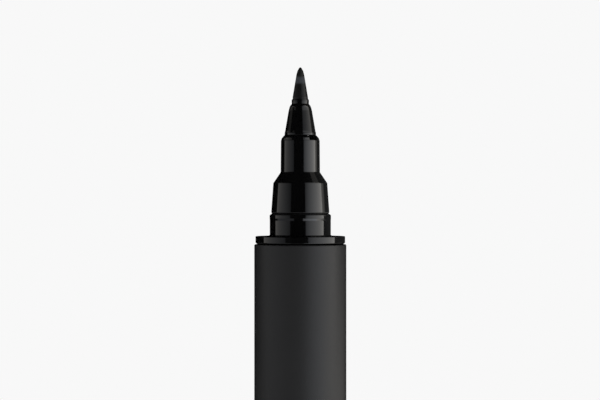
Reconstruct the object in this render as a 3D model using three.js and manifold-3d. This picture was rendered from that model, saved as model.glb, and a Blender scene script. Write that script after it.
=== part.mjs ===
// A felt-tip brush pen standing on its posted cap, nib up.
// Millimetres, +Z up along the pen. The origin is the middle of the cap's flat end, and the clip faces -Y.
// From the floor up: the cap (crown, tube, liner, clip), then the pen (tail plug, barrel, reservoir, section,
// nozzle, nib).
import * as THREE from "three";
import { mergeVertices } from "three/addons/utils/BufferGeometryUtils.js";
import Module from "manifold-3d";

// ---------------------------------------------------------------- driving dimensions

const SIDES = 40; // facets round every turned piece
const GAP = 0.02; // between pieces that are pushed together
const FIT = 0.05; // radial play of a plug in its tube

const BODY_R = 6; // outside radius of the barrel and of the cap
const TUBE_WALL = 0.5; // both drawn aluminium tubes
const BORE_R = BODY_R - TUBE_WALL;
const EDGE_R = 0.12; // rounded rim of a tube
const BARREL_LENGTH = 95;
const CAP_LENGTH = 34; // from the floor to the cap's mouth

const COLLAR_R = 5.84; // the gloss rings between the tubes
const COLLAR_HEIGHT = 1.04;
const COLLAR_EDGE = 0.1;

// The plug that the cap snaps on. The front section and the tail plug both carry it.
// Heights are measured from the collar's face, which is the cap's seat.
const SNAP = {
  r: 3.98,
  beadFoot: 2.05,
  beadTop: 2.8,
  beadOut: 0.02, // how far the bead stands out
  grooveHeight: 2.99, // bottom of the small groove above the bead
  grooveR: 3.67,
  ledgeHeight: 3.12, // where the slope to the taper starts
  ledgeR: 3.79,
  taperHeight: 6.92,
  taperR: 3.52,
};

const NECK = {
  footHeight: 8.34,
  footR: 2.56,
  roundHeight: 12.36, // where the neck starts to round over
  roundR: 2.524,
  topHeight: 13.13,
  topR: 2.11,
  boreR: 1.72,
};

const NOZZLE = {
  footR: 2.05, // low ring that sits on the neck
  ringHeight: 13.45,
  ringR: 2.04,
  coneHeight: 13.7,
  coneR: 1.975,
  shoulderHeight: 16.38,
  shoulderR: 1.525,
  lipHeight: 17.32, // foot of the small lip round the nib
  lipR: 1.13,
  mouthHeight: 17.86,
  boreR: 1.02,
  shankHeight: 8.3, // where the shank ends inside the neck
};

const NIB = {
  r: 1,
  coneHeight: 18.05,
  ogiveHeight: 21.09,
  ogiveR: 0.489,
  tipHeight: 22.04,
  tailHeight: -19.5, // below the seat, inside the reservoir
};

// Two vents on opposite sides: a notch through the neck's end, over a groove down the nozzle's shank.
const VENT = {
  angle: 45,
  width: 1.4,
  depth: 0.45,
  reach: 1.4, // how far a notch runs towards the axis
  middleR: 2.2,
  grooveWidth: 0.8,
  grooveDepth: 0.28,
};

const CHAMBER = { r: BORE_R - FIT, boreR: 4.55, ribs: 6, ribHeight: 0.35, ribWidth: 0.7, ribInset: 12 };
const PLUG_R = CHAMBER.boreR - FIT; // section and tail plug inside the ink chamber
const SECTION_SKIRT = 11.2; // how far the section reaches into the barrel
const TAIL_SKIRT = 8.8;

const RESERVOIR = { r: 3.95, filmR: 4.1, nibHoleR: 1.1, nibHoleDepth: 9 };
const BREATHER = { r: 0.6, boreR: 0.36, offset: 2.5, proud: 2 };

const CROWN = { headHeight: 2.2, edgeR: 0.45, plugHeight: 8, floor: 2.6, boreR: 4.4 };
const LINER = { lipHeight: 4.9, lipR: 3.74, chamberHeight: 9.2, chamberR: 3.3, length: 25.3, endWall: 0.8 };

const CLIP = {
  width: 3.4,
  endWidth: 2.6,
  tabWidth: 2.6,
  thickness: 0.7,
  rootHeight: 3.75,
  tabEnd: 4.6, // how far from the axis the tab stops
  armOut: 7.45, // distance of the arm from the axis
  ballHeight: 28.2,
  ballOut: 6.5,
  endHeight: 31,
  endOut: 7.15,
  play: 0.22, // round the tab in its window
};

// ---------------------------------------------------------------- where things are, up the pen

const TAIL_SEAT = CAP_LENGTH + FIT; // the tail collar's face, just above the cap's mouth
const BARREL_REAR = TAIL_SEAT + COLLAR_HEIGHT + GAP;
const BARREL_FRONT = BARREL_REAR + BARREL_LENGTH;
const FRONT_COLLAR = BARREL_FRONT + GAP;
const SEAT = FRONT_COLLAR + COLLAR_HEIGHT; // the cap's seat when the pen is closed
const RESERVOIR_REAR = BARREL_REAR + TAIL_SKIRT + GAP;
const RESERVOIR_FRONT = FRONT_COLLAR - SECTION_SKIRT - GAP;

// ---------------------------------------------------------------- tools

const wasm = await Module();
wasm.setup();

/** A closed geometry as a solid that can be cut and joined. */
function toSolid(geometry) {
  const bare = geometry.index ? geometry.toNonIndexed() : geometry.clone();
  bare.deleteAttribute("normal");
  bare.deleteAttribute("uv");
  const merged = mergeVertices(bare, 1e-4);
  const vertProperties = merged.attributes.position.array;
  const triVerts = new Uint32Array(merged.index.array);
  return new wasm.Manifold(new wasm.Mesh({ numProp: 3, vertProperties, triVerts }));
}

function toGeometry(solid) {
  const mesh = solid.getMesh();
  const geometry = new THREE.BufferGeometry();
  geometry.setAttribute("position", new THREE.BufferAttribute(mesh.vertProperties, 3));
  geometry.setIndex(new THREE.BufferAttribute(mesh.triVerts, 1));
  return geometry;
}

/** Turns an outline of (radius, height), drawn up the outside and down the inside, about the pen's axis. */
function turned(outline, arcDivisions = 3) {
  const geometry = new THREE.LatheGeometry(outline.getPoints(arcDivisions), SIDES);
  geometry.rotateX(Math.PI / 2);
  return geometry;
}

/** A plain tube between two heights. */
function tube(outerR, innerR, bottom, top) {
  const outline = new THREE.Path([
    new THREE.Vector2(innerR, bottom),
    new THREE.Vector2(outerR, bottom),
    new THREE.Vector2(outerR, top),
    new THREE.Vector2(innerR, top),
  ]);
  outline.autoClose = true;
  return turned(outline);
}

/** A drawn tube whose two outer rims are rounded. */
function roundedTube(bottom, top) {
  const outline = new THREE.Path();
  outline.moveTo(BORE_R, bottom);
  outline.lineTo(BODY_R - EDGE_R, bottom);
  outline.absarc(BODY_R - EDGE_R, bottom + EDGE_R, EDGE_R, -Math.PI / 2, 0);
  outline.lineTo(BODY_R, top - EDGE_R);
  outline.absarc(BODY_R - EDGE_R, top - EDGE_R, EDGE_R, 0, Math.PI / 2);
  outline.lineTo(BORE_R, top);
  outline.autoClose = true;
  return turned(outline, 2);
}

/** A box whose middle lies at (x, y, z), then turned about the pen's axis by an angle in degrees. */
function block(size, middle, angle = 0) {
  const geometry = new THREE.BoxGeometry(...size);
  geometry.translate(...middle);
  geometry.rotateZ(THREE.MathUtils.degToRad(angle));
  return geometry;
}

/** The snap plug's outside as (radius, distance from the seat), going away from the seat. */
function snapProfile() {
  return [
    new THREE.Vector2(SNAP.r, 0),
    new THREE.Vector2(SNAP.r, SNAP.beadFoot),
    new THREE.Vector2(SNAP.r + SNAP.beadOut, (SNAP.beadFoot + SNAP.beadTop) / 2),
    new THREE.Vector2(SNAP.r, SNAP.beadTop),
    new THREE.Vector2(SNAP.grooveR, SNAP.grooveHeight),
    new THREE.Vector2(SNAP.ledgeR, SNAP.ledgeHeight),
    new THREE.Vector2(SNAP.taperR, SNAP.taperHeight),
  ];
}

// ---------------------------------------------------------------- the front of the pen

/** Gloss front section: skirt inside the barrel, collar, snap plug, sloping shoulder and neck. */
function sectionGeometry() {
  const skirtEnd = FRONT_COLLAR - SECTION_SKIRT;
  const skirtBoreR = 3.6;
  const bodyBoreR = 2.75;
  const outline = new THREE.Path();
  outline.moveTo(skirtBoreR, skirtEnd);
  outline.lineTo(PLUG_R - 0.4, skirtEnd);
  outline.lineTo(PLUG_R, skirtEnd + 0.8);
  outline.lineTo(PLUG_R, FRONT_COLLAR);
  outline.lineTo(COLLAR_R, FRONT_COLLAR);
  outline.lineTo(COLLAR_R, SEAT - COLLAR_EDGE);
  outline.lineTo(COLLAR_R - COLLAR_EDGE, SEAT);
  for (const point of snapProfile()) {
    outline.lineTo(point.x, SEAT + point.y);
  }
  outline.lineTo(NECK.footR, SEAT + NECK.footHeight);
  outline.lineTo(NECK.roundR, SEAT + NECK.roundHeight);
  outline.quadraticCurveTo(
    NECK.roundR - 0.05, SEAT + NECK.topHeight - 0.43,
    NECK.topR, SEAT + NECK.topHeight,
  );
  outline.lineTo(NECK.boreR, SEAT + NECK.topHeight);
  outline.lineTo(NECK.boreR, SEAT + SNAP.taperHeight);
  outline.lineTo(bodyBoreR, SEAT + SNAP.taperHeight - 1.2);
  outline.lineTo(bodyBoreR, SEAT - 1.6);
  outline.lineTo(skirtBoreR, SEAT - 2.6);
  outline.autoClose = true;
  let section = toSolid(turned(outline));
  for (const angle of [VENT.angle, VENT.angle + 180]) {
    const size = [VENT.width, VENT.reach, 2 * VENT.depth];
    const notch = block(size, [0, -VENT.middleR, SEAT + NECK.topHeight], angle);
    section = section.subtract(toSolid(notch));
  }
  return toGeometry(section);
}

/** Gloss nozzle that holds the nib. Two grooves down its shank carry air from the neck's vents. */
function nozzleGeometry() {
  const shankR = NECK.boreR - 0.03;
  const outline = new THREE.Path();
  outline.moveTo(NOZZLE.boreR, SEAT + NOZZLE.shankHeight);
  outline.lineTo(shankR - 0.15, SEAT + NOZZLE.shankHeight);
  outline.lineTo(shankR, SEAT + NOZZLE.shankHeight + 0.4);
  outline.lineTo(shankR, SEAT + NECK.topHeight + GAP);
  outline.lineTo(NOZZLE.footR, SEAT + NECK.topHeight + GAP);
  outline.lineTo(NOZZLE.ringR, SEAT + NOZZLE.ringHeight);
  outline.lineTo(NOZZLE.coneR, SEAT + NOZZLE.coneHeight);
  outline.lineTo(NOZZLE.shoulderR, SEAT + NOZZLE.shoulderHeight);
  outline.quadraticCurveTo(
    NOZZLE.shoulderR - 0.1, SEAT + NOZZLE.shoulderHeight + 0.5,
    NOZZLE.lipR, SEAT + NOZZLE.lipHeight,
  );
  outline.lineTo(NOZZLE.lipR - 0.02, SEAT + NOZZLE.mouthHeight - 0.08);
  outline.lineTo(NOZZLE.lipR - 0.07, SEAT + NOZZLE.mouthHeight);
  outline.lineTo(NOZZLE.boreR, SEAT + NOZZLE.mouthHeight);
  outline.autoClose = true;
  let nozzle = toSolid(turned(outline));
  const grooveHeight = NECK.topHeight - NOZZLE.shankHeight + 0.6;
  const middleHeight = SEAT + NECK.topHeight - grooveHeight / 2;
  for (const angle of [VENT.angle, VENT.angle + 180]) {
    const size = [VENT.grooveWidth, 2 * VENT.grooveDepth, grooveHeight];
    const groove = block(size, [0, -shankR, middleHeight], angle);
    nozzle = nozzle.subtract(toSolid(groove));
  }
  return toGeometry(nozzle);
}

/** Felt rod, ground to a cone with a rounded point. Its tail draws ink from the reservoir. */
function nibGeometry() {
  const outline = new THREE.Path();
  outline.moveTo(0, SEAT + NIB.tailHeight);
  outline.lineTo(NIB.r - 0.3, SEAT + NIB.tailHeight);
  outline.lineTo(NIB.r, SEAT + NIB.tailHeight + 0.5);
  outline.lineTo(NIB.r, SEAT + NIB.coneHeight);
  outline.lineTo(NIB.ogiveR, SEAT + NIB.ogiveHeight);
  outline.quadraticCurveTo(NIB.ogiveR - 0.07, SEAT + NIB.ogiveHeight + 0.42, 0, SEAT + NIB.tipHeight);
  return turned(outline, 5);
}

// ---------------------------------------------------------------- inside the barrel

/** Plastic tube that holds the reservoir clear of the wall on ribs, so that air can pass. */
function chamberGeometry() {
  const bottom = BARREL_REAR + 0.3;
  const top = BARREL_FRONT - 0.2;
  let chamber = toSolid(tube(CHAMBER.r, CHAMBER.boreR, bottom, top));
  const ribDepth = CHAMBER.ribHeight + 0.3;
  const ribSize = [CHAMBER.ribWidth, ribDepth, top - bottom - 2 * CHAMBER.ribInset];
  const ribMiddle = [0, CHAMBER.boreR - CHAMBER.ribHeight + ribDepth / 2, (bottom + top) / 2];
  for (let i = 0; i < CHAMBER.ribs; i++) {
    chamber = chamber.add(toSolid(block(ribSize, ribMiddle, (360 * i) / CHAMBER.ribs)));
  }
  return toGeometry(chamber);
}

/** Fibre core that stores the ink, with a hole for the nib's tail and one for the breather tube. */
function reservoirGeometry() {
  const outline = new THREE.Path();
  const holeBottom = RESERVOIR_FRONT - RESERVOIR.nibHoleDepth;
  outline.moveTo(0, RESERVOIR_REAR);
  outline.lineTo(RESERVOIR.r, RESERVOIR_REAR);
  outline.lineTo(RESERVOIR.r, RESERVOIR_FRONT);
  outline.lineTo(RESERVOIR.nibHoleR, RESERVOIR_FRONT);
  outline.lineTo(RESERVOIR.nibHoleR, holeBottom);
  outline.lineTo(0, holeBottom);
  const channel = new THREE.CylinderGeometry(BREATHER.r + FIT, BREATHER.r + FIT, BARREL_LENGTH, 16);
  channel.rotateX(Math.PI / 2);
  channel.translate(0, BREATHER.offset, (RESERVOIR_REAR + RESERVOIR_FRONT) / 2);
  return toGeometry(toSolid(turned(outline)).subtract(toSolid(channel)));
}

/** Clear film wrapped round the reservoir. */
function filmGeometry() {
  return tube(RESERVOIR.filmR, RESERVOIR.r + FIT, RESERVOIR_REAR, RESERVOIR_FRONT);
}

/** Thin tube beside the nib's tail, which lets air reach the rear of the barrel. */
function breatherGeometry() {
  const outline = new THREE.Shape();
  outline.absarc(0, BREATHER.offset, BREATHER.r, 0, 2 * Math.PI);
  const bore = new THREE.Path();
  bore.absarc(0, BREATHER.offset, BREATHER.boreR, 0, 2 * Math.PI, true);
  outline.holes.push(bore);
  const depth = RESERVOIR_FRONT - RESERVOIR_REAR + 2 * BREATHER.proud;
  const geometry = new THREE.ExtrudeGeometry(outline, { depth, bevelEnabled: false, curveSegments: 8 });
  geometry.translate(0, 0, RESERVOIR_REAR - BREATHER.proud);
  return geometry;
}

/** Closes the barrel's rear and carries the snap plug that the cap is posted on. */
function tailPlugGeometry() {
  const skirtEnd = BARREL_REAR + TAIL_SKIRT;
  const skirtBoreR = 3.5;
  const plugBoreR = 2.6;
  const endChamfer = 0.35;
  const collarTop = TAIL_SEAT + COLLAR_HEIGHT;
  const plugEnd = TAIL_SEAT - SNAP.taperHeight;
  const outline = new THREE.Path();
  outline.moveTo(0, plugEnd - endChamfer);
  outline.lineTo(SNAP.taperR - endChamfer, plugEnd - endChamfer);
  for (const point of snapProfile().reverse()) {
    outline.lineTo(point.x, TAIL_SEAT - point.y);
  }
  outline.lineTo(COLLAR_R - COLLAR_EDGE, TAIL_SEAT);
  outline.lineTo(COLLAR_R, TAIL_SEAT + COLLAR_EDGE);
  outline.lineTo(COLLAR_R, collarTop);
  outline.lineTo(PLUG_R, collarTop);
  outline.lineTo(PLUG_R, skirtEnd - 0.8);
  outline.lineTo(PLUG_R - 0.4, skirtEnd);
  outline.lineTo(skirtBoreR, skirtEnd);
  outline.lineTo(skirtBoreR, collarTop + 1);
  outline.lineTo(plugBoreR, collarTop);
  outline.lineTo(plugBoreR, plugEnd + 1.2);
  outline.lineTo(0, plugEnd + 1.2);
  return turned(outline);
}

// ---------------------------------------------------------------- the cap

/** A window through one wall for the clip's tab, on the -Y side, from radius innerR to outerR. */
function clipWindow(innerR, outerR) {
  const size = [CLIP.tabWidth + 2 * CLIP.play, outerR - innerR, CLIP.thickness + 2 * CLIP.play];
  return toSolid(block(size, [0, -(innerR + outerR) / 2, CLIP.rootHeight]));
}

function capTubeGeometry() {
  const shell = toSolid(roundedTube(CROWN.headHeight + GAP, CAP_LENGTH));
  return toGeometry(shell.subtract(clipWindow(BORE_R - 0.5, BODY_R + 0.5)));
}

/** Gloss end of the cap. Its hollow plug locks the clip's tab in the cap tube. */
function crownGeometry() {
  const outline = new THREE.Path();
  outline.moveTo(0, 0);
  outline.lineTo(COLLAR_R - CROWN.edgeR, 0);
  outline.absarc(COLLAR_R - CROWN.edgeR, CROWN.edgeR, CROWN.edgeR, -Math.PI / 2, 0);
  outline.lineTo(COLLAR_R, CROWN.headHeight);
  outline.lineTo(CHAMBER.r, CROWN.headHeight);
  outline.lineTo(CHAMBER.r, CROWN.plugHeight - 0.4);
  outline.lineTo(CHAMBER.r - 0.3, CROWN.plugHeight);
  outline.lineTo(CROWN.boreR, CROWN.plugHeight);
  outline.lineTo(CROWN.boreR, CROWN.floor);
  outline.lineTo(0, CROWN.floor);
  return toGeometry(toSolid(turned(outline)).subtract(clipWindow(CROWN.boreR - 0.5, BODY_R)));
}

/** Inner cap: grips the snap plug's bead, seals on its taper and keeps the nib from drying. */
function linerGeometry() {
  const top = CAP_LENGTH - 0.08;
  const gripR = SNAP.r + SNAP.beadOut + FIT;
  const bottom = top - LINER.length;
  const sleeveR = LINER.chamberR + 0.9;
  const outline = new THREE.Path();
  outline.moveTo(0, bottom);
  outline.lineTo(sleeveR - 0.5, bottom);
  outline.lineTo(sleeveR, bottom + 0.5);
  outline.lineTo(sleeveR, top - LINER.chamberHeight - 1.4);
  outline.lineTo(CHAMBER.r, top - LINER.chamberHeight);
  outline.lineTo(CHAMBER.r, top);
  outline.lineTo(gripR + 0.25, top);
  outline.lineTo(gripR, top - 0.35);
  outline.lineTo(gripR, top - LINER.lipHeight + 0.5);
  outline.lineTo(LINER.lipR, top - LINER.lipHeight);
  outline.lineTo(LINER.lipR, top - SNAP.taperHeight - 0.5);
  outline.lineTo(LINER.chamberR, top - LINER.chamberHeight);
  outline.lineTo(LINER.chamberR, bottom + LINER.endWall);
  outline.lineTo(0, bottom + LINER.endWall);
  return turned(outline);
}

/** The clip's centreline seen from the side: x is the distance from the axis, y the height. */
function clipCentreline() {
  const bend = 0.9;
  const line = new THREE.Path();
  line.moveTo(CLIP.tabEnd, CLIP.rootHeight);
  line.lineTo(CLIP.armOut - bend, CLIP.rootHeight);
  line.absarc(CLIP.armOut - bend, CLIP.rootHeight + bend, bend, -Math.PI / 2, 0);
  line.lineTo(CLIP.armOut, CLIP.ballHeight - 4);
  line.bezierCurveTo(
    CLIP.armOut, CLIP.ballHeight - 2, CLIP.ballOut, CLIP.ballHeight - 1.4, CLIP.ballOut, CLIP.ballHeight,
  );
  line.quadraticCurveTo(CLIP.ballOut, CLIP.ballHeight + 1.2, CLIP.endOut, CLIP.endHeight);
  return line;
}

/** A strip of even thickness round a line of points, as a closed shape. */
function stripShape(points, thickness) {
  const sides = [[], []];
  points.forEach((point, i) => {
    const before = points[Math.max(i - 1, 0)];
    const after = points[Math.min(i + 1, points.length - 1)];
    const along = after.clone().sub(before).normalize();
    const across = new THREE.Vector2(along.y, -along.x).multiplyScalar(thickness / 2);
    sides[0].push(point.clone().add(across));
    sides[1].unshift(point.clone().sub(across));
  });
  return new THREE.Shape([...sides[0], ...sides[1]]);
}

/** Sprung pocket clip: the bent strip, narrowed towards its end and at its tab. */
function clipGeometry() {
  const strip = new THREE.ExtrudeGeometry(stripShape(clipCentreline().getPoints(4), CLIP.thickness), {
    depth: CLIP.width,
    bevelEnabled: false,
  });
  // The strip was drawn in the XY plane. Carry its x to -Y and its y to +Z.
  const toSide = new THREE.Matrix4().makeBasis(
    new THREE.Vector3(0, -1, 0), new THREE.Vector3(0, 0, 1), new THREE.Vector3(-1, 0, 0),
  );
  strip.applyMatrix4(toSide);
  strip.translate(CLIP.width / 2, 0, 0);

  const face = new THREE.Shape();
  const endR = CLIP.endWidth / 2;
  face.moveTo(-CLIP.width / 2, 0);
  face.lineTo(CLIP.width / 2, 0);
  face.lineTo(endR, CLIP.endHeight - endR);
  face.absarc(0, CLIP.endHeight - endR, endR + 0.001, 0, Math.PI);
  const front = new THREE.ExtrudeGeometry(face, { depth: 2 * BODY_R, bevelEnabled: false, curveSegments: 6 });
  front.rotateX(Math.PI / 2);

  const sideCut = [1, CLIP.armOut - CLIP.tabEnd, 2];
  let clip = toSolid(strip).intersect(toSolid(front));
  for (const side of [-1, 1]) {
    const middle = [side * (CLIP.tabWidth / 2 + 0.5), -(BODY_R + 0.35 - sideCut[1] / 2), CLIP.rootHeight];
    clip = clip.subtract(toSolid(block(sideCut, middle)));
  }
  return toGeometry(clip);
}

// ---------------------------------------------------------------- finishes and assembly

const FINISHES = {
  matteCoat: new THREE.MeshStandardMaterial({ color: 0x2b2b2d, roughness: 0.6, metalness: 0 }),
  glossBlack: new THREE.MeshStandardMaterial({ color: 0x0a0a0b, roughness: 0.12, metalness: 0 }),
  inkedFelt: new THREE.MeshStandardMaterial({ color: 0x17171a, roughness: 0.8, metalness: 0 }),
  fibre: new THREE.MeshStandardMaterial({ color: 0x1c1c24, roughness: 1, metalness: 0 }),
  film: new THREE.MeshStandardMaterial({ color: 0xd9dce0, roughness: 0.25, metalness: 0 }),
  natural: new THREE.MeshStandardMaterial({ color: 0xcfd0cc, roughness: 0.45, metalness: 0 }),
  spring: new THREE.MeshStandardMaterial({ color: 0x141415, roughness: 0.3, metalness: 1 }),
};

function piece(name, geometry, finish) {
  const mesh = new THREE.Mesh(geometry, finish);
  mesh.name = name;
  return mesh;
}

const cap = new THREE.Group();
cap.add(
  piece("cap_crown", crownGeometry(), FINISHES.glossBlack),
  piece("cap_tube", capTubeGeometry(), FINISHES.matteCoat),
  piece("cap_liner", linerGeometry(), FINISHES.natural),
  piece("pocket_clip", clipGeometry(), FINISHES.spring),
);

const pen = new THREE.Group();
pen.add(
  piece("tail_plug", tailPlugGeometry(), FINISHES.glossBlack),
  piece("barrel_tube", roundedTube(BARREL_REAR, BARREL_FRONT), FINISHES.matteCoat),
  piece("ink_chamber", chamberGeometry(), FINISHES.natural),
  piece("reservoir_core", reservoirGeometry(), FINISHES.fibre),
  piece("reservoir_film", filmGeometry(), FINISHES.film),
  piece("breather_tube", breatherGeometry(), FINISHES.film),
  piece("front_section", sectionGeometry(), FINISHES.glossBlack),
  piece("nozzle", nozzleGeometry(), FINISHES.glossBlack),
  piece("brush_nib", nibGeometry(), FINISHES.inkedFelt),
);

const brushPen = new THREE.Group();
brushPen.add(cap, pen);
export default brushPen;
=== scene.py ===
"""Looks for the brush pen: fine turned pieces round the CAD frame, their materials, studio and camera.

Heights and radii are in millimetres and are turned into metres where a mesh is made.
"""

import math

import bmesh
import bpy
from mathutils import Matrix, Vector


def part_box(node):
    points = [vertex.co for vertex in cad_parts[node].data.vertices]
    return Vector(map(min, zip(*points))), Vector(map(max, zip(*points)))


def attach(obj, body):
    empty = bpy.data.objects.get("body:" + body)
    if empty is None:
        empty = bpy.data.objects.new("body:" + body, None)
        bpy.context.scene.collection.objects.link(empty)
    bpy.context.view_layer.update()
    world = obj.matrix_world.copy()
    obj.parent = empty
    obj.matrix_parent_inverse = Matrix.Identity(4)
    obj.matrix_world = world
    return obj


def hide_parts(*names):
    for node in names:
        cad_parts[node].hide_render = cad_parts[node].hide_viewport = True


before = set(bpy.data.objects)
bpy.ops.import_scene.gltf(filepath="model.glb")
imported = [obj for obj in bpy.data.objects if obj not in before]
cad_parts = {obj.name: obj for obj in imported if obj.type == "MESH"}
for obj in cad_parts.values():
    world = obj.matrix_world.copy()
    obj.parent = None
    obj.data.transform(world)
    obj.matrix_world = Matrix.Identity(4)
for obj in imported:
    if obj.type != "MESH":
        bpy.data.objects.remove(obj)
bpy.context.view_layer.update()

MM = 0.001
MICRON = 0.001 * MM
SIDES = 160  # facets round a turned piece
ARC_STEP = math.radians(12)  # turn of one facet in a rounded edge
SUPPORT = 0.06  # distance from a rounded edge to the loop that keeps a wall's shading flat
GAP = 0.02  # between pieces that are pushed together
FIT = 0.05  # between pieces that slide together
TUBE_WALL = 0.5
NECK_HEIGHT = 13.13  # from the front collar's face to the neck's end


# ---------------------------------------------------------------- places taken from the frame


def low(node):
    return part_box(node)[0].z / MM


def high(node):
    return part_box(node)[1].z / MM


def radius(node):
    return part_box(node)[1].x / MM


BODY_R = radius("barrel_tube")
COLLAR_R = radius("front_section")
CHAMBER_R = radius("ink_chamber")
CORE_R = radius("reservoir_core")
FILM_R = radius("reservoir_film")

BARREL_REAR = low("barrel_tube")
BARREL_FRONT = high("barrel_tube")
CAP_MOUTH = high("cap_tube")
CROWN_TOP = high("cap_crown")
CROWN_HEAD = low("cap_tube") - GAP
NECK_TOP = high("front_section")
NIB_TIP = high("brush_nib")
MOUTH = high("nozzle")
SEAT = NECK_TOP - NECK_HEIGHT  # face of the front collar, where the cap stops
TAIL_SEAT = CAP_MOUTH + FIT  # face of the tail collar

# Sizes that a box can't give, as the CAD model has them.
BORE_R = BODY_R - TUBE_WALL
CHAMBER_BORE_R = 4.55
SKIRT_R = CHAMBER_BORE_R - FIT  # the section and the tail plug inside the ink chamber

# The snap plug of the section and of the tail, with heights measured from the collar's face.
SNAP_R = 3.98
BEAD_FOOT = 2.05
BEAD_TOP = 2.8
BEAD_OUT = 0.02
LEDGE_R = 3.79
TAPER_R = 3.52
TAPER_HEIGHT = 6.92

NECK_BORE_R = 1.72
SHANK_R = 1.69
NIB_R = 1.0
NIB_BORE_R = NIB_R + GAP
VENT_ANGLES = (45, 225)
BREATHER_R = 0.6
BREATHER_OFFSET = 2.5

CLIP_ROOT = 3.75
CLIP_ARM_OUT = 7.45  # distance of the arm's middle from the pen's axis
CLIP_BALL_OUT = 6.5
CLIP_END_OUT = 7.15
CLIP_TAB_END = 4.6  # how far from the axis the tab stops
CLIP_THICKNESS = 0.7
CLIP_WIDTH = 3.4
CLIP_TAB_WIDTH = 2.6
CLIP_END_WIDTH = 2.6
CLIP_PLAY = 0.22  # round the tab in its window
CLIP_END_ROOM = 0.13  # for the corner of the tilted end, above the middle line
CLIP_END = high("pocket_clip") - CLIP_END_ROOM


# ---------------------------------------------------------------- mesh tools


def rounded(corners):
    """Turns (radius, height) or (radius, height, fillet) corners into an outline with round corners."""
    points = []
    for i, corner in enumerate(corners):
        here = Vector(corner[:2])
        fillet = corner[2] if len(corner) > 2 else 0
        before = Vector(corners[i - 1][:2]) - here
        after = Vector(corners[(i + 1) % len(corners)][:2]) - here
        if not fillet or before.length < 1e-6 or after.length < 1e-6:
            points.append(here)
            continue
        opening = before.angle(after)
        reach = fillet / math.tan(opening / 2)
        start = here + before.normalized() * reach
        end = here + after.normalized() * reach
        inward = (before.normalized() + after.normalized()).normalized()
        middle = here + inward * fillet / math.sin(opening / 2)
        steps = max(2, math.ceil((math.pi - opening) / ARC_STEP))
        if before.length > reach + 2 * SUPPORT:
            points.append(start + before.normalized() * SUPPORT)
        for step in range(steps + 1):
            spoke = (start - middle).slerp(end - middle, step / steps)
            points.append(middle + spoke * fillet)
        if after.length > reach + 2 * SUPPORT:
            points.append(end + after.normalized() * SUPPORT)
    return points


def spun_mesh(bm, outline, sides=SIDES):
    """Adds the closed outline, turned about Z, to bm. Points on the axis become single vertices."""
    rings = []
    for point in outline:
        if point.x < 1e-6:
            rings.append([bm.verts.new((0, 0, point.y * MM))] * sides)
            continue
        ring = []
        for k in range(sides):
            angle = 2 * math.pi * k / sides
            x = point.x * MM * math.cos(angle)
            y = point.x * MM * math.sin(angle)
            ring.append(bm.verts.new((x, y, point.y * MM)))
        rings.append(ring)
    for lower, upper in zip(rings, rings[1:] + rings[:1]):
        for k in range(sides):
            corners = [lower[k], lower[(k + 1) % sides], upper[(k + 1) % sides], upper[k]]
            face = list(dict.fromkeys(corners))
            if len(face) > 2:
                bm.faces.new(face)


def smooth(mesh, limit=35):
    """Shades smooth, with hard edges where faces meet at more than limit degrees."""
    bm = bmesh.new()
    bm.from_mesh(mesh)
    for face in bm.faces:
        face.smooth = True
    for edge in bm.edges:
        edge.smooth = len(edge.link_faces) == 2 and edge.calc_face_angle(0) < math.radians(limit)
    bm.to_mesh(mesh)
    bm.free()


def object_from(bm, name):
    bmesh.ops.recalc_face_normals(bm, faces=bm.faces)
    mesh = bpy.data.meshes.new(name)
    bm.to_mesh(mesh)
    bm.free()
    made = bpy.data.objects.new(name, mesh)
    bpy.context.scene.collection.objects.link(made)
    return made


def spun(name, corners):
    """A piece turned about the pen's axis from the corners of its closed outline."""
    bm = bmesh.new()
    spun_mesh(bm, rounded(corners))
    return object_from(bm, name)


def block(name, size, middle, angle=0):
    """A box of a size and middle in millimetres, turned about the pen's axis by an angle in degrees."""
    bm = bmesh.new()
    bmesh.ops.create_cube(bm, size=1)
    bmesh.ops.scale(bm, vec=Vector(size) * MM, verts=bm.verts)
    bmesh.ops.translate(bm, vec=Vector(middle) * MM, verts=bm.verts)
    bmesh.ops.rotate(bm, matrix=Matrix.Rotation(math.radians(angle), 3, "Z"), verts=bm.verts)
    return object_from(bm, name)


def applied(piece):
    """Replaces a piece's mesh by what its modifiers make of it."""
    bpy.context.view_layer.update()
    evaluated = piece.evaluated_get(bpy.context.evaluated_depsgraph_get())
    mesh = bpy.data.meshes.new_from_object(evaluated)
    piece.modifiers.clear()
    piece.data = mesh
    mesh.name = piece.name


def cut(piece, tools, operation="DIFFERENCE"):
    """Cuts each tool out of the piece, or joins it on, and removes the tool."""
    for tool in tools:
        modifier = piece.modifiers.new("cut", "BOOLEAN")
        modifier.operation = operation
        modifier.solver = "EXACT"
        modifier.object = tool
        applied(piece)
        bpy.data.objects.remove(tool)


def soften_edges(piece, width, limit=40):
    """Bevels the hard edges that a cut has left."""
    modifier = piece.modifiers.new("soften", "BEVEL")
    modifier.width = width * MM
    modifier.segments = 2
    modifier.limit_method = "ANGLE"
    modifier.angle_limit = math.radians(limit)
    applied(piece)


def place(piece, node, body, material):
    """Puts a finished piece in the frame in place of its CAD node."""
    smooth(piece.data)
    piece.data.materials.clear()
    piece.data.materials.append(material)
    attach(piece, body)
    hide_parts(node)
    return piece


# ---------------------------------------------------------------- material tools


def new_material(name):
    material = bpy.data.materials.new(name)
    material.use_nodes = True
    nodes = material.node_tree.nodes
    return material, nodes, material.node_tree.links, nodes["Principled BSDF"]


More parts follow.
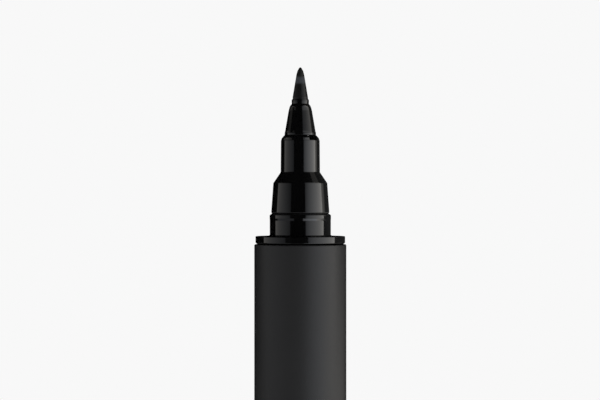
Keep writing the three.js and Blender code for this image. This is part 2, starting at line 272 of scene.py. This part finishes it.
def noise(nodes, links, scale, stretch=(1, 1, 1), detail=3.0):
    """Object-space noise, so the pattern is fixed to the piece. Scale counts features per metre."""
    place_in = nodes.new("ShaderNodeTexCoord")
    mapping = nodes.new("ShaderNodeMapping")
    mapping.inputs["Scale"].default_value = stretch
    texture = nodes.new("ShaderNodeTexNoise")
    texture.inputs["Scale"].default_value = scale
    texture.inputs["Detail"].default_value = detail
    links.new(place_in.outputs["Object"], mapping.inputs["Vector"])
    links.new(mapping.outputs["Vector"], texture.inputs["Vector"])
    return texture.outputs["Fac"]


def ranged(nodes, links, value, low_out, high_out, low_in=0.3, high_in=0.7):
    """Maps a value onto a range, kept inside it."""
    node = nodes.new("ShaderNodeMapRange")
    node.inputs["From Min"].default_value = low_in
    node.inputs["From Max"].default_value = high_in
    node.inputs["To Min"].default_value = low_out
    node.inputs["To Max"].default_value = high_out
    links.new(value, node.inputs["Value"])
    return node.outputs["Result"]


def colour_mix(nodes, links, factor):
    """A colour mix, as its two inputs and its result."""
    node = nodes.new("ShaderNodeMix")
    node.data_type = "RGBA"
    links.new(factor, node.inputs["Factor"])
    inputs = {socket.identifier: socket for socket in node.inputs}
    outputs = {socket.identifier: socket for socket in node.outputs}
    return inputs["A_Color"], inputs["B_Color"], outputs["Result_Color"]


def mixed(nodes, links, factor, dark, light):
    """A mix of two plain colours."""
    first, second, result = colour_mix(nodes, links, factor)
    first.default_value = (*dark, 1)
    second.default_value = (*light, 1)
    return result


def blended(nodes, links, factor, lower, upper):
    """A mix of two colours that other nodes make."""
    first, second, result = colour_mix(nodes, links, factor)
    links.new(lower, first)
    links.new(upper, second)
    return result


def coloured(nodes, links, shader, factor, dark, light):
    """Gives the shader a base colour mixed from two plain colours."""
    links.new(mixed(nodes, links, factor, dark, light), shader.inputs["Base Color"])


def bumped(nodes, links, shader, height, distance, strength, under=None):
    """Bump of a real height in metres. Another bump's normal can lie under it."""
    node = nodes.new("ShaderNodeBump")
    node.inputs["Strength"].default_value = strength
    node.inputs["Distance"].default_value = distance
    links.new(height, node.inputs["Height"])
    if under is not None:
        links.new(under, node.inputs["Normal"])
    links.new(node.outputs["Normal"], shader.inputs["Normal"])
    return node.outputs["Normal"]


# ---------------------------------------------------------------- materials


def gloss_black_material():
    """Polished moulded black: clean reflections, with the faint ripple and haze of moulded plastic."""
    material, nodes, links, shader = new_material("gloss_black_plastic")
    haze = noise(nodes, links, 700)
    links.new(ranged(nodes, links, haze, 0.05, 0.1), shader.inputs["Roughness"])
    coloured(nodes, links, shader, haze, (0.0014, 0.0014, 0.0015), (0.0026, 0.0026, 0.0027))
    bumped(nodes, links, shader, noise(nodes, links, 900, detail=1), 2 * MICRON, 0.35)
    return material


def matte_coat_material():
    """Soft satin lacquer on the drawn tubes: fine grain over a barely uneven coat."""
    material, nodes, links, shader = new_material("matte_coat")
    cloud = noise(nodes, links, 160)
    grain = noise(nodes, links, 14000, detail=4)
    coloured(nodes, links, shader, cloud, (0.0125, 0.0125, 0.0132), (0.0155, 0.0155, 0.0162))
    links.new(ranged(nodes, links, grain, 0.36, 0.44), shader.inputs["Roughness"])
    shader.inputs["Specular IOR Level"].default_value = 0.3
    under = bumped(nodes, links, shader, cloud, 20 * MICRON, 0.3)
    bumped(nodes, links, shader, grain, 6 * MICRON, 0.5, under)
    return material


def inked_felt_material():
    """Ground felt soaked with ink: satin on the cone, and a lighter bluish band of painted sheen under
    the worn, matte point.
    """
    material, nodes, links, shader = new_material("inked_felt")
    fibres = noise(nodes, links, 9000, stretch=(1, 1, 0.12), detail=5)
    place_in = nodes.new("ShaderNodeTexCoord")
    axes = nodes.new("ShaderNodeSeparateXYZ")
    links.new(place_in.outputs["Object"], axes.inputs["Vector"])
    height = axes.outputs["Z"]
    band_bottom = (NIB_TIP - 2.15) * MM
    band_top = (NIB_TIP - 1.3) * MM
    blend = 0.15 * MM
    inked = mixed(nodes, links, fibres, (0.003, 0.003, 0.003), (0.009, 0.009, 0.009))
    # painted highlight: a lighter bluish band in the base colour that stands in for a sheen round the
    # nib
    painted_sheen = mixed(nodes, links, fibres, (0.02, 0.023, 0.028), (0.042, 0.046, 0.054))
    point = mixed(nodes, links, fibres, (0.002, 0.002, 0.0015), (0.007, 0.007, 0.0055))
    above_band = ranged(nodes, links, height, 0, 1, band_top - blend, band_top + blend)
    above_cone = ranged(nodes, links, height, 0, 1, band_bottom - blend, band_bottom + blend)
    upper = blended(nodes, links, above_band, painted_sheen, point)
    links.new(blended(nodes, links, above_cone, inked, upper), shader.inputs["Base Color"])
    links.new(ranged(nodes, links, above_cone, 0.3, 0.6, 0, 1), shader.inputs["Roughness"])
    shader.inputs["Specular IOR Level"].default_value = 0.25
    bumped(nodes, links, shader, fibres, 20 * MICRON, 0.6)
    return material


def natural_plastic_material():
    """Milky polypropylene with a soft sheen and faint flow marks."""
    material, nodes, links, shader = new_material("natural_plastic")
    flow = noise(nodes, links, 260, stretch=(1, 1, 0.3))
    coloured(nodes, links, shader, flow, (0.56, 0.57, 0.54), (0.66, 0.67, 0.64))
    links.new(ranged(nodes, links, flow, 0.32, 0.46), shader.inputs["Roughness"])
    shader.inputs["Subsurface Weight"].default_value = 0.2
    shader.inputs["Subsurface Scale"].default_value = 2 * MM
    bumped(nodes, links, shader, noise(nodes, links, 5000), 4 * MICRON, 0.4)
    return material


def clear_film_material():
    """Thin drawn film with lengthwise streaks."""
    material, nodes, links, shader = new_material("clear_film")
    streaks = noise(nodes, links, 3000, stretch=(1, 1, 0.02))
    coloured(nodes, links, shader, streaks, (0.55, 0.58, 0.61), (0.68, 0.71, 0.74))
    links.new(ranged(nodes, links, streaks, 0.12, 0.3), shader.inputs["Roughness"])
    bumped(nodes, links, shader, streaks, 5 * MICRON, 0.4)
    return material


def ink_fibre_material():
    """Bundled fibre along the reservoir, soaked with ink."""
    material, nodes, links, shader = new_material("ink_fibre")
    fibres = noise(nodes, links, 5000, stretch=(1, 1, 0.03), detail=5)
    coloured(nodes, links, shader, fibres, (0.006, 0.006, 0.009), (0.028, 0.028, 0.036))
    links.new(ranged(nodes, links, fibres, 0.5, 0.85), shader.inputs["Roughness"])
    bumped(nodes, links, shader, fibres, 60 * MICRON, 0.8)
    return material


def black_spring_material():
    """Black lacquer on spring strip: a little orange peel, and brushed lines showing through."""
    material, nodes, links, shader = new_material("black_spring")
    peel = noise(nodes, links, 2600)
    brushed = noise(nodes, links, 9000, stretch=(1, 1, 0.03))
    coloured(nodes, links, shader, peel, (0.004, 0.004, 0.0045), (0.008, 0.008, 0.0085))
    links.new(ranged(nodes, links, brushed, 0.16, 0.28), shader.inputs["Roughness"])
    bumped(nodes, links, shader, peel, 6 * MICRON, 0.4)
    return material


GLOSS = gloss_black_material()
COAT = matte_coat_material()
FELT = inked_felt_material()
NATURAL = natural_plastic_material()
FILM = clear_film_material()
FIBRE = ink_fibre_material()
SPRING = black_spring_material()


# ---------------------------------------------------------------- the front of the pen


def snap_corners(at):
    """The snap plug's outside, going away from the seat. at() turns a distance from it into a height."""
    return [
        (SNAP_R + 0.28, at(0), 0.02),
        (SNAP_R, at(0.17), 0.02),
        (SNAP_R, at(BEAD_FOOT), 0.4),
        (SNAP_R + BEAD_OUT, at(BEAD_TOP - 0.45), 0.8),
        (SNAP_R + BEAD_OUT - 0.01, at(BEAD_TOP - 0.05), 0.03),
        (LEDGE_R - 0.12, at(BEAD_TOP + 0.17), 0.01),
        (LEDGE_R, at(BEAD_TOP + 0.29), 0.1),
        (TAPER_R, at(TAPER_HEIGHT), 0.12),
    ]


def make_section():
    """Front section: skirt inside the barrel, collar, snap plug, sloping shoulder and vented neck."""
    skirt_end = low("front_section")
    bore_r = 2.75
    skirt_bore_r = 3.6
    neck = [
        (2.56, SEAT + 8.34, 0.1),
        (2.524, SEAT + 12.46, 0.2),
        (2.40, SEAT + 12.80, 0.12),
        (2.11, NECK_TOP, 0.04),
        (NECK_BORE_R, NECK_TOP, 0.04),
        (NECK_BORE_R, SEAT + TAPER_HEIGHT, 0.2),
        (bore_r, SEAT + TAPER_HEIGHT - 1.2, 0.2),
        (bore_r, SEAT - 1.6, 0.2),
        (skirt_bore_r, SEAT - 2.6, 0.2),
    ]
    skirt = [
        (skirt_bore_r, skirt_end, 0.1),
        (SKIRT_R - 0.4, skirt_end, 0.1),
        (SKIRT_R, skirt_end + 0.8, 0.3),
        (SKIRT_R, BARREL_FRONT + GAP, 0.05),
        (COLLAR_R - 0.25, BARREL_FRONT + GAP, 0.03),
        (COLLAR_R, BARREL_FRONT + 0.22, 0.04),
        (COLLAR_R, SEAT, 0.09),
    ]
    section = spun("front_section_fine", skirt + snap_corners(lambda h: SEAT + h) + neck)
    vent_size = (1.4, 1.4, 1.3)
    vent_middle = (0, -2.2, NECK_TOP)
    cut(section, [block("vent", vent_size, vent_middle, angle) for angle in VENT_ANGLES])
    soften_edges(section, 0.035)
    return place(section, "front_section", "pen", GLOSS)


def make_nozzle():
    """Nozzle: shank inside the neck with an air groove under each vent, ring, cone, shoulder and lip."""
    shank_end = low("nozzle")
    foot = NECK_TOP + GAP
    corners = [
        (NIB_BORE_R, shank_end, 0.05),
        (SHANK_R - 0.15, shank_end, 0.05),
        (SHANK_R, shank_end + 0.4, 0.1),
        (SHANK_R, foot, 0.02),
        (2.05, foot, 0.05),
        (2.04, SEAT + 13.45, 0.3),
        (1.975, SEAT + 13.7, 0.06),
        (1.525, SEAT + 16.35, 0.8),
        (1.40, SEAT + 16.83, 0.5),
        (1.30, SEAT + 17.03, 0.3),
        (1.115, SEAT + 17.25, 0.02),
        (1.13, SEAT + 17.5, 0.3),
        (1.115, MOUTH - 0.02, 0.12),
        (NIB_BORE_R, MOUTH, 0.02),
    ]
    nozzle = spun("nozzle_fine", corners)
    groove_width = 0.8
    groove_depth = 0.28
    groove_height = NECK_TOP - shank_end + 0.6
    groove_size = (groove_width, 2 * groove_depth, groove_height)
    middle = (0, -SHANK_R, NECK_TOP - groove_height / 2)
    cut(nozzle, [block("groove", groove_size, middle, angle) for angle in VENT_ANGLES])
    return place(nozzle, "nozzle", "pen", GLOSS)


def make_nib():
    """Nib: a long shank that ends in the reservoir, a cone, and a rounded point."""
    tail = low("brush_nib")
    corners = [
        (0, tail),
        (NIB_R - 0.3, tail, 0.1),
        (NIB_R, tail + 0.5, 0.2),
        (NIB_R, SEAT + 18.1, 0.6),
        (0.505, NIB_TIP - 0.97, 1.2),
        (0.37, NIB_TIP - 0.47, 0.7),
        (0.16, NIB_TIP - 0.11, 0.15),
        (0.05, NIB_TIP - 0.01, 0.05),
        (0, NIB_TIP),
    ]
    nib = spun("brush_nib_fine", corners)
    return place(nib, "brush_nib", "pen", FELT)


# ---------------------------------------------------------------- the barrel and the tail


def tube_corners(bottom, top):
    """A drawn tube with rounded outer rims."""
    rim = 0.15
    return [
        (BORE_R, bottom, 0.05),
        (BODY_R, bottom, rim),
        (BODY_R, top, rim),
        (BORE_R, top, 0.05),
    ]


def make_barrel():
    barrel = spun("barrel_tube_fine", tube_corners(BARREL_REAR, BARREL_FRONT))
    return place(barrel, "barrel_tube", "pen", COAT)


def make_tail_plug():
    """Tail plug: snap plug below, collar, and a skirt inside the barrel."""
    plug_end = TAIL_SEAT - TAPER_HEIGHT
    skirt_end = high("tail_plug")
    collar_top = BARREL_REAR - GAP
    skirt_bore_r = 3.5
    plug_bore_r = 2.6
    plug = [(0, low("tail_plug")), (TAPER_R - 0.35, low("tail_plug"), 0.1)]
    plug += snap_corners(lambda h: TAIL_SEAT - h)[::-1]
    collar_and_skirt = [
        (COLLAR_R, TAIL_SEAT, 0.09),
        (COLLAR_R, collar_top - 0.02, 0.07),
        (SKIRT_R, collar_top, 0.05),
        (SKIRT_R, skirt_end - 0.8, 0.3),
        (SKIRT_R - 0.4, skirt_end, 0.1),
        (skirt_bore_r, skirt_end, 0.1),
        (skirt_bore_r, collar_top + 1, 0.2),
        (plug_bore_r, collar_top, 0.2),
        (plug_bore_r, plug_end + 1.2, 0.3),
        (0, plug_end + 1.2),
    ]
    tail = spun("tail_plug_fine", plug + collar_and_skirt)
    return place(tail, "tail_plug", "pen", GLOSS)


# ---------------------------------------------------------------- the cap


def clip_window(inner_r, outer_r):
    """A tool for the window that the clip's tab goes through, in a wall between two radii."""
    size = (CLIP_TAB_WIDTH + 2 * CLIP_PLAY, outer_r - inner_r, CLIP_THICKNESS + 2 * CLIP_PLAY)
    return block("window", size, (0, -(inner_r + outer_r) / 2, CLIP_ROOT))


def make_cap_tube():
    tube = spun("cap_tube_fine", tube_corners(low("cap_tube"), CAP_MOUTH))
    cut(tube, [clip_window(BORE_R - 0.5, BODY_R + 0.5)])
    return place(tube, "cap_tube", "cap", COAT)


def make_crown():
    """Cap crown: a flat rounded head, and a hollow plug that the clip's tab goes into."""
    bore_r = 4.4
    floor = 2.6
    corners = [
        (0, 0),
        (COLLAR_R, 0, 0.45),
        (COLLAR_R, CROWN_HEAD, 0.08),
        (CHAMBER_R, CROWN_HEAD, 0.03),
        (CHAMBER_R, CROWN_TOP - 0.4, 0.2),
        (CHAMBER_R - 0.3, CROWN_TOP, 0.1),
        (bore_r, CROWN_TOP, 0.1),
        (bore_r, floor, 0.3),
        (0, floor),
    ]
    crown = spun("cap_crown_fine", corners)
    cut(crown, [clip_window(bore_r - 0.5, BODY_R)])
    return place(crown, "cap_crown", "cap", GLOSS)


def make_liner():
    """Cap liner: a grip for the snap plug at its mouth, a seal on the taper, and a closed sleeve."""
    top = high("cap_liner")
    bottom = low("cap_liner")
    grip_r = SNAP_R + BEAD_OUT + FIT
    seal_r = 3.74
    sleeve_r = 3.3
    wall = 0.9
    end_wall = 0.8
    sleeve_top = top - 9.2
    corners = [
        (0, bottom),
        (sleeve_r + wall, bottom, 0.5),
        (sleeve_r + wall, sleeve_top - 1.4, 0.5),
        (CHAMBER_R, sleeve_top, 0.5),
        (CHAMBER_R, top, 0.12),
        (grip_r + 0.2, top, 0.12),
        (grip_r, top - 0.35, 0.2),
        (grip_r, top - 4.4, 0.2),
        (seal_r, top - 4.9, 0.2),
        (seal_r, top - TAPER_HEIGHT - 0.5, 0.3),
        (sleeve_r, sleeve_top, 0.3),
        (sleeve_r, bottom + end_wall, 0.6),
        (0, bottom + end_wall),
    ]
    return place(spun("cap_liner_fine", corners), "cap_liner", "cap", NATURAL)


def clip_line():
    """The clip's middle line from its tab to its tip, as (distance from the axis, height)."""
    bend = 0.9
    ball = CLIP_END - 2.8
    line = [Vector((CLIP_TAB_END + 0.1 * i, CLIP_ROOT)) for i in range(20)]
    centre = Vector((CLIP_ARM_OUT - bend, CLIP_ROOT + bend))
    for step in range(13):
        turn = math.radians(-90 + 90 * step / 12)
        line.append(centre + Vector((math.cos(turn), math.sin(turn))) * bend)
    arm_bottom = CLIP_ROOT + bend + 0.25
    arm_top = ball - 4
    line += [Vector((CLIP_ARM_OUT, arm_bottom + (arm_top - arm_bottom) * i / 20)) for i in range(21)]
    inward = [
        (CLIP_ARM_OUT, arm_top),
        (CLIP_ARM_OUT, ball - 2),
        (CLIP_BALL_OUT, ball - 1.4),
        (CLIP_BALL_OUT, ball),
    ]
    outward = [
        (CLIP_BALL_OUT, ball),
        (CLIP_BALL_OUT, ball + 0.8),
        (CLIP_BALL_OUT + 0.22, ball + 1.33),
        (CLIP_END_OUT, CLIP_END),
    ]
    line += bezier(inward, 16)[1:]
    line += bezier(outward, 12)[1:]
    return line


def bezier(handles, steps):
    """Points on a cubic curve through its first and last handle."""
    a, b, c, d = (Vector(h) for h in handles)
    points = []
    for step in range(steps + 1):
        t = step / steps
        u = 1 - t
        points.append(a * u**3 + b * 3 * u * u * t + c * 3 * u * t * t + d * t**3)
    return points


def strip_section(width, thickness, edge=0.16, steps=4):
    """A rounded rectangle as (across, outward)."""
    points = []
    edge = min(edge, width / 2 * 0.98, thickness / 2 * 0.98)
    corners = [(1, 1, 0), (-1, 1, 90), (-1, -1, 180), (1, -1, 270)]
    for side, out, start in corners:
        middle = Vector((side * (width / 2 - edge), out * (thickness / 2 - edge)))
        for step in range(steps + 1):
            turn = math.radians(start + 90 * step / steps)
            points.append(middle + Vector((math.cos(turn), math.sin(turn))) * edge)
    return points


def clip_width(height, out):
    """Full width of the strip: narrow at the tab, full at the bend, tapering to a round tip."""
    clear_of_tube = out - BODY_R - 0.25
    widening = 0.3
    if height < CLIP_ROOT + 0.01 and clear_of_tube < widening:
        step_out = min(max(clear_of_tube / widening, 0), 1)
        return CLIP_TAB_WIDTH + (CLIP_WIDTH - CLIP_TAB_WIDTH) * step_out * step_out * (3 - 2 * step_out)
    end_r = CLIP_END_WIDTH / 2
    share = min(max((height - CLIP_ROOT) / (CLIP_END - end_r - CLIP_ROOT), 0), 1)
    width = CLIP_WIDTH + (CLIP_END_WIDTH - CLIP_WIDTH) * share
    past = height - (CLIP_END - end_r)
    if past > 0:
        least_half = 0.02
        width = 2 * max(math.sqrt(max(end_r * end_r - past * past, 0)), least_half)
    return width


def make_clip():
    """Pocket clip: the strip's section swept along its middle line."""
    line = clip_line()
    bm = bmesh.new()
    rings = []
    for i, point in enumerate(line):
        along = (line[min(i + 1, len(line) - 1)] - line[max(i - 1, 0)]).normalized()
        outward = Vector((along.y, -along.x))
        ring = []
        for across, out in strip_section(clip_width(point.y, point.x), CLIP_THICKNESS):
            spot = point + outward * out
            ring.append(bm.verts.new((across * MM, -spot.x * MM, spot.y * MM)))
        rings.append(ring)
    for lower, upper in zip(rings, rings[1:]):
        for k in range(len(lower)):
            n = (k + 1) % len(lower)
            bm.faces.new([lower[k], lower[n], upper[n], upper[k]])
    bm.faces.new(rings[0])
    bm.faces.new(rings[-1])
    clip = object_from(bm, "pocket_clip_fine")
    return place(clip, "pocket_clip", "clip", SPRING)


# ---------------------------------------------------------------- inside the barrel


def make_chamber():
    """Ink chamber: a tube with ribs that grip the reservoir."""
    bottom = low("ink_chamber")
    top = high("ink_chamber")
    corners = [
        (CHAMBER_BORE_R, bottom, 0.1),
        (CHAMBER_R, bottom, 0.1),
        (CHAMBER_R, top, 0.1),
        (CHAMBER_BORE_R, top, 0.1),
    ]
    chamber = spun("ink_chamber_fine", corners)
    rib_count = 6
    rib_height = 0.35
    rib_depth = rib_height + 0.3
    rib_inset = 12
    size = (0.7, rib_depth, top - bottom - 2 * rib_inset)
    middle = (0, CHAMBER_BORE_R - rib_height + rib_depth / 2, (bottom + top) / 2)
    cut(chamber, [block("rib", size, middle, 360 * i / rib_count) for i in range(rib_count)], "UNION")
    return place(chamber, "ink_chamber", "pen", NATURAL)


def off_axis(name, corners):
    """A thin turned piece on the breather tube's axis."""
    bm = bmesh.new()
    spun_mesh(bm, rounded(corners), 32)
    piece = object_from(bm, name)
    piece.data.transform(Matrix.Translation((0, BREATHER_OFFSET * MM, 0)))
    return piece


def make_reservoir():
    """Reservoir: a fibre rod with a hole for the nib's shank and a channel for the breather tube."""
    bottom = low("reservoir_core")
    top = high("reservoir_core")
    nib_hole_r = 1.1
    nib_hole_depth = 9
    corners = [
        (0, bottom),
        (CORE_R, bottom, 0.15),
        (CORE_R, top, 0.15),
        (nib_hole_r, top, 0.15),
        (nib_hole_r, top - nib_hole_depth, 0.3),
        (0, top - nib_hole_depth),
    ]
    core = spun("reservoir_core_fine", corners)
    channel_r = BREATHER_R + FIT
    channel = [(0, bottom - 1), (channel_r, bottom - 1), (channel_r, top + 1), (0, top + 1)]
    cut(core, [off_axis("channel", channel)])
    return place(core, "reservoir_core", "pen", FIBRE)


def plain_tube(inner_r, outer_r, node):
    """Sharp corners of a tube between the ends of its CAD node."""
    bottom = low(node)
    top = high(node)
    return [(inner_r, bottom), (outer_r, bottom), (outer_r, top), (inner_r, top)]


def make_film():
    film = spun("reservoir_film_fine", plain_tube(CORE_R + FIT, FILM_R, "reservoir_film"))
    return place(film, "reservoir_film", "pen", FILM)


def make_breather():
    bore_r = 0.36
    tube = off_axis("breather_tube_fine", plain_tube(bore_r, BREATHER_R, "breather_tube"))
    return place(tube, "breather_tube", "pen", FILM)


# ---------------------------------------------------------------- studio

CAMERA_HEIGHT = SEAT + 4.72
CAMERA_SIDE = -0.04  # how far the camera stands to the right of the pen's axis
PICTURE_WIDTH = 78.26  # what the camera sees across at the pen
LENS = 100
SENSOR = 36
WHITE = (0.939, 0.939, 0.939, 1)
COOL = (0.93, 0.97, 1.04)
WARM = (1.03, 1.0, 0.95)

# The floor and the panels, in metres.
FLOOR_RADIUS = 0.45
FLOOR_WHITE = (0.99, 0.99, 0.99)
MIRRORED_FLOOR = (0.5, 0.5, 0.5)
PANEL_DISTANCE = 0.4
LOW_PANEL_TOP = (CAMERA_HEIGHT - 34) * MM  # the panels below this are mirrored mostly by the barrel
KEY_TOP = 0.44


def make_floor():
    """A round floor, nearly as white as the room behind the pen, and half as bright in reflections."""
    bm = bmesh.new()
    bmesh.ops.create_circle(bm, cap_ends=True, segments=128, radius=FLOOR_RADIUS)
    floor = object_from(bm, "studio_floor")
    material, nodes, links, shader = new_material("studio_floor")
    ray = nodes.new("ShaderNodeLightPath")
    coloured(nodes, links, shader, ray.outputs["Is Glossy Ray"], FLOOR_WHITE, MIRRORED_FLOOR)
    shader.inputs["Roughness"].default_value = 1
    shader.inputs["Specular IOR Level"].default_value = 0
    floor.data.materials.append(material)


def make_panel(name, azimuths, heights, glow, tints, levels=((0, 1), (1, 1))):
    """An upright soft box that only reflections see.

    It runs between two azimuths in degrees, 0 being towards the camera and 90 to its right, and two
    heights in metres. Its glow and tint run from the first azimuth to the second. Levels are pairs of
    a share of its height and how many times brighter it is there.
    """
    ends = []
    for azimuth in azimuths:
        turn = math.radians(azimuth)
        ends.append(Vector((math.sin(turn), -math.cos(turn), 0)) * PANEL_DISTANCE)
    bm = bmesh.new()
    layer = bm.loops.layers.uv.new("glow")
    corners = [(0, 0), (1, 0), (1, 1), (0, 1)]
    face = bm.faces.new([bm.verts.new(ends[u] + Vector((0, 0, heights[v]))) for u, v in corners])
    for loop, corner in zip(face.loops, corners):
        loop[layer].uv = corner
    soft_box = object_from(bm, name)
    soft_box.data.materials.append(glow_material(name, glow, tints, levels))
    soft_box.visible_camera = False
    soft_box.visible_shadow = False
    soft_box.visible_diffuse = False


def glow_material(name, glow, tints, levels):
    """A light whose strength and tint run across its panel, times a level that changes up it."""
    material = bpy.data.materials.new(name)
    material.use_nodes = True
    nodes, links = material.node_tree.nodes, material.node_tree.links
    nodes.clear()
    place_in = nodes.new("ShaderNodeTexCoord")
    axes = nodes.new("ShaderNodeSeparateXYZ")
    ramp = nodes.new("ShaderNodeValToRGB")
    strength = nodes.new("ShaderNodeMath")
    emission = nodes.new("ShaderNodeEmission")
    out = nodes.new("ShaderNodeOutputMaterial")
    while len(ramp.color_ramp.elements) < len(levels):
        ramp.color_ramp.elements.new(1)
    for stop, (share, level) in zip(ramp.color_ramp.elements, levels):
        stop.position = share
        stop.color = (level, level, level, 1)
    strength.operation = "MULTIPLY"
    links.new(place_in.outputs["UV"], axes.inputs["Vector"])
    links.new(mixed(nodes, links, axes.outputs["X"], *tints), emission.inputs["Color"])
    links.new(ranged(nodes, links, axes.outputs["X"], *glow, 0, 1), strength.inputs[0])
    links.new(axes.outputs["Y"], ramp.inputs["Fac"])
    links.new(ramp.outputs["Color"], strength.inputs[1])
    links.new(strength.outputs["Value"], emission.inputs["Strength"])
    links.new(emission.outputs["Emission"], out.inputs["Surface"])
    return material


def make_key_panels():
    """The soft boxes in front and on the right, brightest between 64 and 98 degrees."""
    key_levels = (
        (0, 1),
        (0.1, 1),
        (0.15, 1.22),
        (0.19, 1.15),
        (0.27, 0.78),
        (0.48, 0.4),
        (0.58, 0.55),
        (0.75, 0.95),
        (1, 1.2),
    )
    edge_levels = ((0, 1), (0.3, 0.2))
    make_panel("key_panel", (20, 98), (LOW_PANEL_TOP, KEY_TOP), (0.48, 3.0), (COOL, WARM), key_levels)
    make_panel("key_edge_panel", (98, 118), (0.145, KEY_TOP), (1.6, 0.2), (WARM, WARM), edge_levels)
    make_panel("high_key_panel", (20, 84), (KEY_TOP, 0.62), (0.4, 1.5), (COOL, WARM))
    make_panel("high_side_panel", (84, 112), (KEY_TOP, 0.75), (0.3, 0.3), (WARM, WARM))
    make_panel("low_key_panel", (10, 64), (0, LOW_PANEL_TOP), (1.15, 3.1), (COOL, COOL))
    make_panel("low_front_panel", (-24, 10), (0, 0.045), (0.8, 1.2), (COOL, COOL))
    make_panel("low_side_panel", (64, 140), (0, LOW_PANEL_TOP), (2.9, 0.3), (WARM, WARM))


def make_fill_panels():
    """The weak soft boxes on the left."""
    fill_levels = ((0.5, 1), (1, 0))
    side_levels = ((0, 0.3), (0.3, 1))
    make_panel("fill_panel", (-38, -107), (0.112, 0.23), (0.2, 0.92), (COOL, WARM), fill_levels)
    make_panel("low_fill_panel", (-24, -95), (0.04, 0.112), (0.3, 0.45), (COOL, COOL))
    make_panel("side_fill_panel", (-84, -124), (0.235, 0.33), (0.16, 0.35), (WARM, WARM), side_levels)
    make_panel("high_fill_panel", (-50, -112), (0.33, 0.42), (0.1, 0.8), (WARM, WARM))


def make_world():
    """White behind the pen and on matte surfaces, and a nearly dark room in the reflections."""
    world = bpy.data.worlds.new("studio")
    bpy.context.scene.world = world
    world.use_nodes = True
    nodes, links = world.node_tree.nodes, world.node_tree.links
    nodes.clear()
    out = nodes.new("ShaderNodeOutputWorld")
    ray = nodes.new("ShaderNodeLightPath")
    room = nodes.new("ShaderNodeBackground")
    white = nodes.new("ShaderNodeBackground")
    white.inputs["Color"].default_value = WHITE
    place_in = nodes.new("ShaderNodeTexCoord")
    axes = nodes.new("ShaderNodeSeparateXYZ")
    links.new(place_in.outputs["Generated"], axes.inputs["Vector"])
    side = ranged(nodes, links, axes.outputs["X"], 0.0, 0.12, 0.1, 0.9)
    behind = ranged(nodes, links, axes.outputs["Y"], 0.1, 1, -0.5, 0.1)
    level = nodes.new("ShaderNodeMath")
    level.operation = "MULTIPLY"
    links.new(side, level.inputs[0])
    links.new(behind, level.inputs[1])
    links.new(level.outputs["Value"], room.inputs["Strength"])
    sees_white = nodes.new("ShaderNodeMath")
    sees_white.operation = "MAXIMUM"
    links.new(ray.outputs["Is Camera Ray"], sees_white.inputs[0])
    links.new(ray.outputs["Is Diffuse Ray"], sees_white.inputs[1])
    pick = nodes.new("ShaderNodeMixShader")
    links.new(sees_white.outputs["Value"], pick.inputs["Fac"])
    links.new(room.outputs["Background"], pick.inputs[1])
    links.new(white.outputs["Background"], pick.inputs[2])
    links.new(pick.outputs["Shader"], out.inputs["Surface"])


def make_camera():
    data = bpy.data.cameras.new("camera")
    data.lens = LENS
    data.sensor_width = SENSOR
    data.clip_start = 0.01
    data.clip_end = 10
    camera = bpy.data.objects.new("camera", data)
    distance = PICTURE_WIDTH * LENS / SENSOR
    camera.location = Vector((CAMERA_SIDE, -distance, CAMERA_HEIGHT)) * MM
    camera.rotation_euler = (math.radians(90), 0, 0)
    bpy.context.scene.collection.objects.link(camera)
    bpy.context.scene.camera = camera


make_section()
make_nozzle()
make_nib()
make_barrel()
make_tail_plug()
make_cap_tube()
make_crown()
make_liner()
make_clip()
make_chamber()
make_reservoir()
make_film()
make_breather()
make_floor()
make_key_panels()
make_fill_panels()
make_world()
make_camera()
bpy.context.scene.view_settings.view_transform = "Standard"
